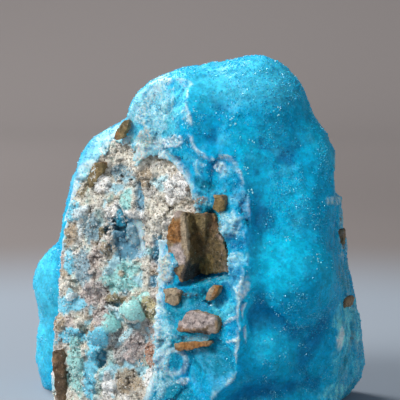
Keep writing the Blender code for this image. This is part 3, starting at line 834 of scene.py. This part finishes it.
def divided(mesh, chosen):
    """Cuts every face whose middle is chosen into four."""
    shape = bmesh.new()
    shape.from_mesh(mesh)
    middles = np.array([face.calc_center_median() for face in shape.faces]) / MM - CENTRING
    for face, pick in zip(shape.faces, chosen(middles)):
        face.tag = bool(pick)
    edges = [edge for edge in shape.edges if any(face.tag for face in edge.link_faces)]
    bmesh.ops.subdivide_edges(shape, edges=edges, cuts=1, use_grid_fill=True)
    bmesh.ops.triangulate(shape, faces=[face for face in shape.faces if len(face.verts) > 4])
    shape.to_mesh(mesh)
    shape.free()
    mesh.update()


def settled(mesh, outside, rounds):
    """Moves the mesh's points onto the surface where outside() is zero."""
    for _ in range(rounds):
        points = points_of(mesh)
        off = np.clip(outside(points), -0.4, 0.4)
        set_points(mesh, points - normals_of(mesh) * 0.7 * off[:, None])


def neighbour_mean(mesh, values, rounds):
    """Values at the mesh's points, averaged with their neighbours so many times."""
    first, second = gathered(mesh.edges, "vertices", 2, np.int64).T
    count = len(mesh.vertices)
    share = np.bincount(first, minlength=count) + np.bincount(second, minlength=count)
    for _ in range(rounds):
        total = [
            np.bincount(first, column[second], count) + np.bincount(second, column[first], count)
            for column in values.T
        ]
        values = (values + np.stack(total, axis=1)) / (1 + share)[:, None]
    return values


def hollowness(mesh, rounds):
    """How deep each point lies in a valley, in millimetres, and below zero on a ridge."""
    points = points_of(mesh)
    smooth = neighbour_mean(mesh, points, rounds)
    return ((smooth - points) * normals_of(mesh)).sum(1)


def step_up(values, low, high):
    """0 below low, 1 above high and smooth between."""
    share = np.clip((values - low) / (high - low), 0, 1)
    return share * share * (3 - 2 * share)


def mixed(base, colour, amount):
    """base, turned towards a colour by an amount at each point."""
    return base + (np.array(colour) - base) * np.clip(amount, 0, 1)[:, None]


def plain(points, colour):
    """The same colour at every point."""
    return np.tile(np.array(colour), (len(points), 1))


def stained(points, tint, stains, first_seed=0):
    """Adds ragged patches of colour, one kind after another."""
    for colour, size, seed, low, high, strength in stains:
        amount = step_up(ragged(points, size, first_seed + seed), low, high) * strength
        tint = mixed(tint, colour, amount)
    return tint


def paint(mesh, name, values):
    """Stores a value, or a colour, at every point of the mesh for its material to read."""
    if values.ndim == 2:
        layer = mesh.color_attributes.new(name, "FLOAT_COLOR", "POINT")
        rgba = np.concatenate([np.clip(values, 0, 1), np.ones((len(values), 1))], axis=1)
        layer.data.foreach_set("color", rgba.ravel())
    else:
        layer = mesh.attributes.new(name, "FLOAT", "POINT")
        layer.data.foreach_set("value", values)


def camera_axes():
    """Where the camera is, and its forward, right and up directions, in the stone's own frame."""
    forward = np.array((0.0, math.cos(CAMERA_ELEVATION), -math.sin(CAMERA_ELEVATION)))
    up = np.array((0.0, math.sin(CAMERA_ELEVATION), math.cos(CAMERA_ELEVATION)))
    return CAMERA_TARGET - CAMERA_DISTANCE * forward, forward, np.array((1.0, 0.0, 0.0)), up


def in_photo(points):
    """Where points are in the photograph, in its pixels."""
    eye, forward, right, up = camera_axes()
    away = points - eye
    scale = PHOTO_SIDE * LENS / SENSOR / (away @ forward)
    half = PHOTO_SIDE / 2
    return np.stack([half + away @ right * scale, half - away @ up * scale], axis=1)


def sight(pixel):
    """The camera's line of sight through a pixel of the photograph."""
    eye, forward, right, up = camera_axes()
    half = PHOTO_SIDE / 2
    slope = SENSOR / LENS / PHOTO_SIDE
    line = forward + right * (pixel[0] - half) * slope + up * (half - pixel[1]) * slope
    return eye, line / np.linalg.norm(line)


def patch(pixels, middle, half_size, lean, fray, edge=(0.82, 1.12)):
    """1 inside a leaning oval of the photograph, 0 outside, with a frayed edge."""
    angle = math.radians(lean)
    turned = pixels - np.array(middle)
    across = turned[:, 0] * math.cos(angle) + turned[:, 1] * math.sin(angle)
    along = turned[:, 1] * math.cos(angle) - turned[:, 0] * math.sin(angle)
    reach = np.hypot(across / half_size[0], along / half_size[1]) + fray
    return 1 - step_up(reach, *edge)


def marked(points, tint, smooth, marks, where):
    """Paints the marks where they may show. Gives the colours, the smoothness and the relief."""
    pixels = in_photo(points)
    fray = 0.55 * ragged(points, 3.0, 300) + 0.30 * noise(points, 0.7, 310)
    height = np.zeros(len(points))
    for _, colour, middle, half_size, lean, rise, glaze in marks:
        amount = where * patch(pixels, middle, half_size, lean, fray)
        tint = mixed(tint, colour, 0.9 * amount)
        smooth = smooth + (glaze - smooth) * amount
        height = height + (rise - height) * amount
    return tint, smooth, height


def shaded(points, tint, marks, where):
    """Paints light and shade onto broad stretches of the skin, lighter or darker, with soft edges."""
    pixels = in_photo(points)
    fray = 0.25 * ragged(points, 5.0, 320)
    for _, colour, middle, half_size, lean, strength in marks:
        amount = patch(pixels, middle, half_size, lean, fray, SOFT_EDGE)
        tint = mixed(tint, colour, strength * where * amount)
    return tint


def radiating(points):
    """The direction from the middle of the nearest botryoid, and how far out it is as a share."""
    nearest = np.full(len(points), 9.0)
    ways = np.zeros(points.shape)
    for number, (centre, radii) in enumerate(LOBES):
        away = points - np.array(centre, float)
        share = np.linalg.norm(away / np.array(radii, float), axis=1)
        closer = share < nearest
        nearest = np.where(closer, share, nearest)
        way = away / (np.linalg.norm(away, axis=1)[:, None] + 1e-6) + 3.7 * number
        ways = np.where(closer[:, None], way, ways)
    return ways, nearest


def set_inputs(tree, node, inputs):
    """Sets a node's inputs. An input is a number, a colour or another node's output."""
    for name, value in inputs.items():
        if isinstance(value, bpy.types.NodeSocket):
            tree.links.new(value, node.inputs[name])
        else:
            node.inputs[name].default_value = value


def value_node(tree, kind, inputs, **settings):
    """A node with its settings and inputs."""
    node = tree.nodes.new(kind)
    for name, value in settings.items():
        setattr(node, name, value)
    set_inputs(tree, node, inputs)
    return node


def grain_node(tree, place, size, detail=3.0):
    """Noise with lumps about size millimetres across, from 0 to 1."""
    inputs = {"Vector": place, "Scale": 1 / (size * MM), "Detail": detail, "Roughness": 0.6}
    return value_node(tree, "ShaderNodeTexNoise", inputs).outputs["Fac"]


def ranged(tree, value, low, high, least=0.0, most=1.0):
    """value from low to high, stretched to least to most."""
    inputs = {"Value": value, "From Min": low, "From Max": high, "To Min": least, "To Max": most}
    return value_node(tree, "ShaderNodeMapRange", inputs, interpolation_type="SMOOTHSTEP").outputs[0]


def product(tree, first, second):
    node = value_node(tree, "ShaderNodeMath", {0: first, 1: second}, operation="MULTIPLY")
    return node.outputs[0]


def mixed_colour(tree, amount, first, second, blend="MIX"):
    node = value_node(tree, "ShaderNodeMix", {0: amount}, data_type="RGBA", blend_type=blend)
    for socket, value in ((node.inputs[6], first), (node.inputs[7], second)):
        if isinstance(value, bpy.types.NodeSocket):
            tree.links.new(value, socket)
        else:
            socket.default_value = (*value, 1)
    return node.outputs[2]


def reading(tree, name, output="Fac"):
    node = tree.nodes.new("ShaderNodeAttribute")
    node.attribute_name = name
    return node.outputs[output]


def tinted(tree, shade):
    """The painted colour, made lighter or darker by a shade."""
    return mixed_colour(tree, 1.0, reading(tree, "tint", "Color"), shade, "MULTIPLY")


def new_material(name):
    material = bpy.data.materials.new(name)
    material.use_nodes = True
    tree = material.node_tree
    place = tree.nodes.new("ShaderNodeTexCoord").outputs["Object"]
    return material, tree, tree.nodes["Principled BSDF"], place


def bumped(tree, shader, layers):
    """Adds bumps to a shader: each layer is a height, its strength and its depth in millimetres."""
    normal = None
    for height, strength, depth in layers:
        inputs = {"Height": height, "Strength": strength, "Distance": depth * MM}
        if normal is not None:
            inputs["Normal"] = normal
        normal = value_node(tree, "ShaderNodeBump", inputs).outputs[0]
    tree.links.new(normal, shader.inputs["Normal"])


def crust_material():
    """Vitreous blue crust: glassy where it is smooth, sugary elsewhere, with the sparkle of tiny
    bright facets painted into its colour.
    """
    material, tree, shader, place = new_material("crust_azure")
    sugar = reading(tree, "sugar")
    coarse = grain_node(tree, place, 1.6)
    fine = grain_node(tree, place, 0.32)
    # painted sparkle: pale specks mixed into the colour where the crust is sugary
    painted_sparkle = product(tree, ranged(tree, fine, 0.54, 0.64), sugar)
    mottle = grain_node(tree, place, 0.55, 4.0)
    broad = ranged(tree, coarse, 0.3, 0.7, 0.80, 1.16)
    close = ranged(tree, mottle, 0.3, 0.7, 0.84, 1.14)
    colour = tinted(tree, product(tree, broad, close))
    colour = mixed_colour(tree, product(tree, painted_sparkle, 0.45), colour, MILKY)
    set_inputs(tree, shader, {
        "Base Color": colour,
        "Roughness": ranged(tree, fine, 0.3, 0.7, 0.22, 0.50),
        "IOR": CRYSTAL_IOR,
        "Specular IOR Level": 0.1,
        "Subsurface Weight": 0.45,
        "Subsurface Radius": (0.5, 1.3, 1.9),
        "Subsurface Scale": MM,
    })
    bumped(tree, shader, [(fine, 0.55, 0.10), (grain_node(tree, place, 0.9), 0.4, 0.15)])
    return material


def rock_material():
    """Granular broken rock with dark specks and pale grains, and smooth glassy cement."""
    material, tree, shader, place = new_material("rock_breccia")
    smooth = reading(tree, "smooth")
    rough = value_node(tree, "ShaderNodeMath", {0: 1.0, 1: smooth}, operation="SUBTRACT").outputs[0]
    grain = grain_node(tree, place, 0.42)
    dust = grain_node(tree, place, 0.22)
    pits = product(tree, ranged(tree, grain_node(tree, place, 0.65, 4.0), 0.40, 0.31), rough)
    pale = product(tree, ranged(tree, dust, 0.55, 0.70), rough)
    colour = tinted(tree, ranged(tree, grain, 0.25, 0.75, 0.84, 1.40))
    colour = mixed_colour(tree, product(tree, pale, 0.55), colour, WHITE)
    colour = mixed_colour(tree, product(tree, pits, 0.7), colour, UMBER)
    set_inputs(tree, shader, {
        "Base Color": colour,
        "Roughness": ranged(tree, smooth, 0.0, 1.0, 0.88, 0.30),
        "Subsurface Weight": 0.15,
        "Subsurface Radius": (0.6, 0.8, 0.9),
        "Subsurface Scale": MM,
    })
    height = product(tree, grain, rough)
    bumped(tree, shader, [(height, 0.8, 0.25), (product(tree, dust, rough), 0.5, 0.12)])
    return material


def limonite_material():
    """Earthy brown limonite with rusty and near-black blotches and fine pits."""
    material, tree, shader, place = new_material("limonite_brown")
    blotch = grain_node(tree, place, 1.1, 5.0)
    grain = grain_node(tree, place, 0.3)
    colour = tinted(tree, ranged(tree, blotch, 0.3, 0.7, 0.6, 1.35))
    colour = mixed_colour(tree, ranged(tree, grain, 0.60, 0.74, 0, 0.5), colour, CREAM)
    colour = mixed_colour(tree, ranged(tree, grain, 0.42, 0.32, 0, 0.7), colour, SHADOW)
    roughness = ranged(tree, blotch, 0.3, 0.7, 0.85, 0.55)
    set_inputs(tree, shader, {"Base Color": colour, "Roughness": roughness})
    bumped(tree, shader, [(grain, 0.8, 0.2), (blotch, 0.5, 0.3)])
    return material


def crystal_material():
    """Tiny glassy crystals that sparkle, coloured like the crust under them."""
    material, tree, shader, place = new_material("crystal_clear")
    haze = grain_node(tree, place, 0.5)
    colour = tinted(tree, ranged(tree, haze, 0.3, 0.7, 0.85, 1.15))
    roughness = ranged(tree, haze, 0.3, 0.7, 0.08, 0.22)
    set_inputs(tree, shader, {"Base Color": colour, "Roughness": roughness, "IOR": CRYSTAL_IOR})
    return material


def placed(name, mesh, material, slot, *stands_for):
    """The mesh as a piece of the specimen."""
    piece = bpy.data.objects.new(name, mesh)
    bpy.context.scene.collection.objects.link(piece)
    mesh.materials.append(material)
    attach(piece, "root")
    if stands_for:
        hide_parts(*stands_for)
    return piece


def near_break(points):
    """True near the crust's front broken faces, but not in the hollow where the rock sits."""
    gap = broken(points, relief(points))
    return (gap > -1.0) & (gap > lumps(points) - 0.6) & (points[:, 1] < DIVIDED_TO)


def faces_camera(mesh, points):
    """1 where the mesh's surface faces the photograph's camera, 0 where it turns away."""
    away = camera_axes()[0] - points
    away /= np.linalg.norm(away, axis=1)[:, None]
    return step_up((away * normals_of(mesh)).sum(1), 0.0, 0.15)


def crust_tint(mesh, points, fracture):
    """The crust's colours: azure domes, valleys darkened with painted shade, and radiating fibres
    where it is broken.
    """
    valley = hollowness(mesh, VALLEY_ROUNDS)
    tint = plain(points, AZURE)
    tint = mixed(tint, BRIGHT, step_up(noise(points, 9.0, 400), -0.2, 0.7) * 0.5)
    tint = mixed(tint, MILKY, step_up(ragged(points, 2.4, 410), 0.15, 0.6) * 0.30)
    # painted shade: the deeper a point lies in a valley, the more it is darkened to deep blue
    tint = mixed(tint, DEEP, step_up(valley, 0.02, 0.30) * 0.8)
    ways, share = radiating(points)
    column = noise(ways, 0.30, 420)
    fibre = 0.6 * noise(ways, 0.06, 430) + 0.4 * noise(ways, 0.025, 435)
    fan = step_up(column, 0.0, 0.4)
    section = mixed(plain(points, TEAL), AZURE, step_up(share, 0.3, 0.9))
    section = mixed(section, MILKY, step_up(ragged(points, 2.6, 440), 0.0, 0.5) * 0.45)
    section = mixed(section, PALE, fan * (0.2 + 0.7 * step_up(fibre, 0.0, 0.5)))
    section = mixed(section, DEEP, fan * step_up(-fibre, 0.15, 0.5) * 0.5)
    section = mixed(section, DEEP, step_up(-column, 0.15, 0.5) * 0.6)
    seam = (1 - step_up(rock_inside(points), 0.4, 2.0)) * step_up(ragged(points, 1.5, 455), -0.5, 0.1)
    section = mixed(section, FROST, seam * 0.75)
    tint = tint + (section - tint) * fracture[:, None]
    return tint, fibre, column


def make_crust(material):
    mesh = remeshed("crust", "hemimorphite_crust", crust_skin, CRUST_PITCH)
    divided(mesh, near_break)
    settled(mesh, crust_skin, 2)
    points = points_of(mesh)
    depth = broken(points, relief(points)) - lumps(points)
    fracture = step_up(depth, -0.25, 0.15)
    tint, fibre, column = crust_tint(mesh, points, fracture)
    rim = step_up(depth, -0.3, 0.0) * (1 - step_up(depth, 0.1, 0.7))
    rim *= 1 - 0.8 * step_up(points[:, 0], *FLANK_START)
    tint = mixed(tint, FROST, rim * step_up(ragged(points, 1.8, 450), -0.3, 0.2) * 0.7)
    facing = faces_camera(mesh, points)
    front = facing * step_up(beyond(points, FRONT_BREAK), *CRUST_MARKED)
    smooth = np.full(len(points), 0.3)
    streaks = 0.4 + 0.6 * step_up(fibre, -0.3, 0.3)
    tint, smooth, height = marked(points, tint, smooth, RIM_MARKS, front * streaks)
    stripes = 0.15 + 0.85 * step_up(noise(points * UPRIGHT, 0.6, 460), -0.3, 0.3)
    flank = stripes * facing * step_up(points[:, 0], *FLANK_START)
    tint, smooth, flank_height = marked(points, tint, smooth, FLANK_MARKS, flank)
    height += flank_height
    # painted light and shade on broad stretches of the skin
    tint = shaded(points, tint, SKIN_LIGHT_AND_SHADE, facing)
    middle, radius, width = RING
    ring = np.abs(np.hypot(*(in_photo(points) - np.array(middle)).T) - radius) / width
    tint = mixed(tint, FROST, front * (1 - step_up(ring, 0.3, 1.0)) * 0.5)
    sugar = ragged(points, 5.0, 500) + 0.6 * noise(points, 1.4, 510)
    sugar = step_up(sugar + 0.25 * step_up(points[:, 2], 38, 56), -0.1, 0.45)
    grain = 0.22 * sugar * bubbles(points, 1.2, 520) + 0.10 * noise(points, 0.9, 530)
    fibres = 0.30 * fibre + 0.3 * column * (1 - smooth)
    rise = (1 - fracture) * grain + fracture * (fibres * (1 - 0.7 * smooth) + height)
    rise *= step_up(points[:, 2], *FOOT)
    set_points(mesh, points + normals_of(mesh) * rise[:, None])
    paint(mesh, "tint", tint)
    paint(mesh, "sugar", sugar * (1 - fracture) + fracture * (1 - smooth))
    mesh.shade_smooth()
    return placed("crust", mesh, material, "crust", "hemimorphite_crust")


def rock_tint(points):
    """The rock's own colours away from the marks: cream, grey and rose with stains and cement."""
    tint = stained(points, plain(points, CREAM), ROCK_STAINS)
    cement = step_up(ragged(points, 4.5, 640), 0.22, 0.36)
    tint = mixed(tint, SKY, cement * 0.6)
    return stained(points, tint, TOP_STAINS), cement


def make_rock(material):
    mesh = remeshed("rock", "rock_matrix", rock_skin, ROCK_PITCH)
    divided(mesh, lambda middles: broken(middles, relief(middles)) > -DIVIDED_DEPTH)
    settled(mesh, rock_skin, 1)
    points = points_of(mesh)
    shown = step_up(broken(points, relief(points)), -3.0, -2.2)
    tint, smooth = rock_tint(points)
    front = shown * step_up(beyond(points, FRONT_BREAK), *ROCK_MARKED)
    left = shown * step_up(beyond(points, LEFT_BREAK), *ROCK_MARKED_LEFT)
    front = np.maximum(front, left) * (points[:, 1] < ROCK_MARKED_TO)
    tint, smooth, height = marked(points, tint, smooth, ROCK_MARKS, front)
    coarse = 0.35 * chiselled(points, 1.3, 660)
    grit = 0.20 * noise(points, 0.7, 670) + 0.10 * noise(points, 0.4, 680)
    pits = -0.7 * step_up(ragged(points, 1.1, 690), 0.35, 0.6)
    rise = height + (coarse + grit + pits) * (1 - 0.85 * smooth)
    rise *= shown * step_up(points[:, 2], *FOOT)
    # painted shade: the pits are darkened to near black as deep as they are cut
    tint = mixed(tint, SHADOW, -pits * (1 - smooth) * shown)
    set_points(mesh, points + normals_of(mesh) * rise[:, None])
    paint(mesh, "tint", tint)
    paint(mesh, "smooth", smooth)
    mesh.shade_smooth()
    return placed("rock", mesh, material, "rock", "rock_matrix")


def limonite(name, fragment, outside, material):
    """A fragment inside the surface where outside() is zero, broken rough and coloured."""
    centre, _, ends, outline, seed = fragment
    reach = np.abs(np.array([ends, *outline])).max() + 2
    centre = np.array(centre)
    mesh = made_mesh(name, *netted(outside, centre - reach, centre + reach, CHIP_PITCH))
    points = points_of(mesh)
    rise = 0.16 * chiselled(points, 1.2, seed) + 0.12 * ragged(points, 0.7, seed)
    rise *= step_up(points[:, 2], 0.6, 1.4)
    set_points(mesh, points + normals_of(mesh) * rise[:, None])
    tint = stained(points, plain(points, EARTH), CHIP_STAINS, seed)
    tint, _, _ = marked(points, tint, 0.0, CHIP_MARKS, faces_camera(mesh, points))
    paint(mesh, "tint", tint)
    placed(name + "_piece", mesh, material, "limonite", name)


def make_chips(material):
    for name, chip in CHIPS.items():
        limonite(name, chip, lambda points: fragment_shape(points, chip), material)


def make_block(material):
    size, height, seed = BLOCK_ROUGH

    def outside(points):
        opened = np.maximum(fragment_shape(points, BLOCK), -notch_shape(points))
        return opened + height * ragged(points, size, seed)

    limonite("limonite_block", BLOCK, outside, material)


def scattered(mesh, weights, count, seed):
    """Places on a mesh, with the normal and tint there, thicker where the weights are high."""
    scatter = np.random.default_rng(seed)
    mesh.calc_loop_triangles()
    corners = gathered(mesh.loop_triangles, "vertices", 3, np.int64)
    points, normals = points_of(mesh), normals_of(mesh)
    first, second, third = (points[corners[:, k]] for k in range(3))
    area = np.linalg.norm(np.cross(second - first, third - first), axis=1)
    total = np.cumsum(area * weights[corners].mean(1))
    picked = np.searchsorted(total, scatter.random(count) * total[-1])
    share = scatter.dirichlet((1, 1, 1), count)[:, :, None]
    tints = gathered(mesh.color_attributes["tint"].data, "color", 4)[:, :3]
    at = corners[picked]
    return [(values[at] * share).sum(1) for values in (points, normals, tints)]


def crystals(name, points, ways, tints, widths, lengths, seed):
    """Small eight-sided crystals as one mesh, each along its own way and sunk to its waist."""
    scatter = np.random.default_rng(seed)
    count = len(points)
    ways = ways + 0.7 * scatter.normal(size=(count, 3))
    ways /= np.linalg.norm(ways, axis=1)[:, None]
    side = np.cross(ways, scatter.normal(size=(count, 3)))
    side /= np.linalg.norm(side, axis=1)[:, None]
    other = np.cross(ways, side)
    side *= widths[:, None] / 2
    other *= widths[:, None] / 2 * scatter.uniform(0.5, 1.0, (count, 1))
    tips = ways * lengths[:, None] / 2
    offsets = np.stack([side, other, -side, -other, tips, -tips], axis=1)
    corners = (points[:, None] + offsets).reshape(-1, 3)
    ring = [(k, (k + 1) % 4) for k in range(4)]
    pattern = np.array([(a, b, 4) for a, b in ring] + [(b, a, 5) for a, b in ring])
    faces = (pattern + 6 * np.arange(count)[:, None, None]).reshape(-1, 3)
    mesh = made_mesh(name, corners, faces)
    paint(mesh, "tint", np.repeat(tints, 6, axis=0))
    return mesh


def make_sugar(crust, material):
    """The sugary crystals on the crust, thickest on its domes and thin on its glassy patches."""
    mesh = crust.data
    points = points_of(mesh)
    sugar = gathered(mesh.attributes["sugar"].data, "value", 1)[:, 0]
    shown = step_up(points[:, 2], 0.5, 1.5) * (rock_inside(points) > 0.5)
    for name, count, density, size, colour, seed, least in SUGARS:
        scatter = np.random.default_rng(seed)
        clusters = step_up(ragged(points, 2.2, seed), least, least + 0.35)
        thickness = shown * (density + sugar) * clusters
        spots, ways, tints = scattered(mesh, thickness, int(count * CROWD), seed + 1)
        tints = mixed(tints, colour, scatter.beta(1.2, 2.0, len(spots)))
        widths = scatter.uniform(0.5, 1.0, len(spots)) * size
        piece = crystals(name, spots, ways, tints, widths, 1.4 * widths, seed + 2)
        placed(name, piece, material, "crust")


def make_grit(rock, material):
    """Loose-looking grains on the broken rock, pale, brown and nearly black."""
    mesh = rock.data
    points = points_of(mesh)
    smooth = gathered(mesh.attributes["smooth"].data, "value", 1)[:, 0]
    shown = step_up(broken(points, relief(points)), -2.6, -1.8) * step_up(points[:, 2], 0.5, 1.5)
    spots, ways, tints = scattered(mesh, shown * (1 - 0.85 * smooth), int(GRIT_COUNT * CROWD), 730)
    scatter = np.random.default_rng(731)
    colours = np.array((WHITE, WHITE, CREAM, CREAM, UMBER, SHADOW))[scatter.integers(0, 6, len(spots))]
    tints = tints + (colours - tints) * scatter.uniform(0.1, 0.8, (len(spots), 1))
    widths = scatter.uniform(0.4, 1.0, len(spots)) * GRIT_SIZE
    piece = crystals("rock_grit", spots, ways, tints, widths, widths, 732)
    placed("rock_grit", piece, material, "rock")


def make_grains(crust, material):
    """White grains in small clusters on the crust, where the photograph shows them."""
    scatter = np.random.default_rng(710)
    tree = BVHTree.FromObject(crust, bpy.context.evaluated_depsgraph_get())
    spots, ways = [], []
    sizes = []
    for pixel, count, size in GRAINS:
        for _ in range(count):
            eye, line = sight(scatter.normal(pixel, GRAIN_SPREAD))
            place, normal, _, _ = tree.ray_cast(Vector((eye + CENTRING) * MM), Vector(line))
            if place is not None:
                spots.append(np.array(place) / MM - CENTRING)
                ways.append(np.array(normal))
                sizes.append(size * scatter.uniform(0.25, 0.7))
    sizes = np.array(sizes)
    tints = mixed(plain(spots, ICE), FROST, 0.4 * scatter.random(len(spots)))
    piece = crystals("white_grains", np.array(spots), np.array(ways), tints, sizes, sizes, 711)
    placed("white_grains", piece, material, "crust")


def stage_material():
    """A plain pale floor, cool near the specimen and warm farther off."""
    material, tree, shader, place = new_material("stage_grey")
    far = value_node(tree, "ShaderNodeVectorMath", {0: place}, operation="LENGTH").outputs["Value"]
    colour = mixed_colour(tree, ranged(tree, far, *FLOOR_CHANGE), FLOOR_NEAR, FLOOR_FAR)
    colour = mixed_colour(tree, ranged(tree, far, *FLOOR_RISE), colour, FLOOR_TOP)
    set_inputs(tree, shader, {"Base Color": colour, "Roughness": 0.9})
    return material


def make_stage():
    """A floor that curves up into a backdrop behind the specimen."""
    back, bend, half, top = STAGE_BACK, STAGE_BEND, STAGE_HALF_WIDTH, STAGE_TOP
    angles = np.linspace(0, math.pi / 2, STAGE_STEPS)
    profile = [(-STAGE_FRONT, 0.0)]
    profile += [(back + bend * math.sin(a), bend - bend * math.cos(a)) for a in angles]
    profile += [(back + bend, top)]
    points = [(x, y, z) for y, z in profile for x in (-half, half)]
    faces = [(2 * k, 2 * k + 1, 2 * k + 3, 2 * k + 2) for k in range(len(profile) - 1)]
    mesh = bpy.data.meshes.new("stage")
    mesh.from_pydata(points, [], faces)
    mesh.shade_smooth()
    mesh.materials.append(stage_material())
    floor = bpy.data.objects.new("stage", mesh)
    bpy.context.scene.collection.objects.link(floor)


def aimed(obj, place, target):
    """Puts a light or the camera at a place, turned to a target, both in metres."""
    bpy.context.scene.collection.objects.link(obj)
    obj.location = place
    obj.rotation_euler = (Vector(target) - Vector(place)).to_track_quat("-Z", "Y").to_euler()
    return obj


def make_lights():
    for name, place, size, power, colour in LIGHTS:
        light = bpy.data.lights.new(name, "AREA")
        light.size = size
        light.energy = power
        light.color = colour
        aimed(bpy.data.objects.new(name, light), place, LIGHT_TARGET)
    world = bpy.data.worlds.new("studio")
    world.use_nodes = True
    settings = {"Color": (*WORLD_COLOUR, 1), "Strength": WORLD_STRENGTH}
    set_inputs(world.node_tree, world.node_tree.nodes["Background"], settings)
    bpy.context.scene.world = world


def make_camera():
    camera = bpy.data.cameras.new("camera")
    camera.lens = LENS
    camera.sensor_width = SENSOR
    eye = camera_axes()[0] + CENTRING
    target = CAMERA_TARGET + CENTRING
    bpy.context.scene.camera = aimed(bpy.data.objects.new("camera", camera), eye * MM, target * MM)


def main():
    bpy.context.scene.view_settings.view_transform = "Standard"
    make_camera()
    make_lights()
    make_stage()
    crystal = crystal_material()
    crust = make_crust(crust_material())
    stone = rock_material()
    rock = make_rock(stone)
    make_grit(rock, stone)
    brown = limonite_material()
    make_block(brown)
    make_chips(brown)
    make_sugar(crust, crystal)
    make_grains(crust, crystal)


main()
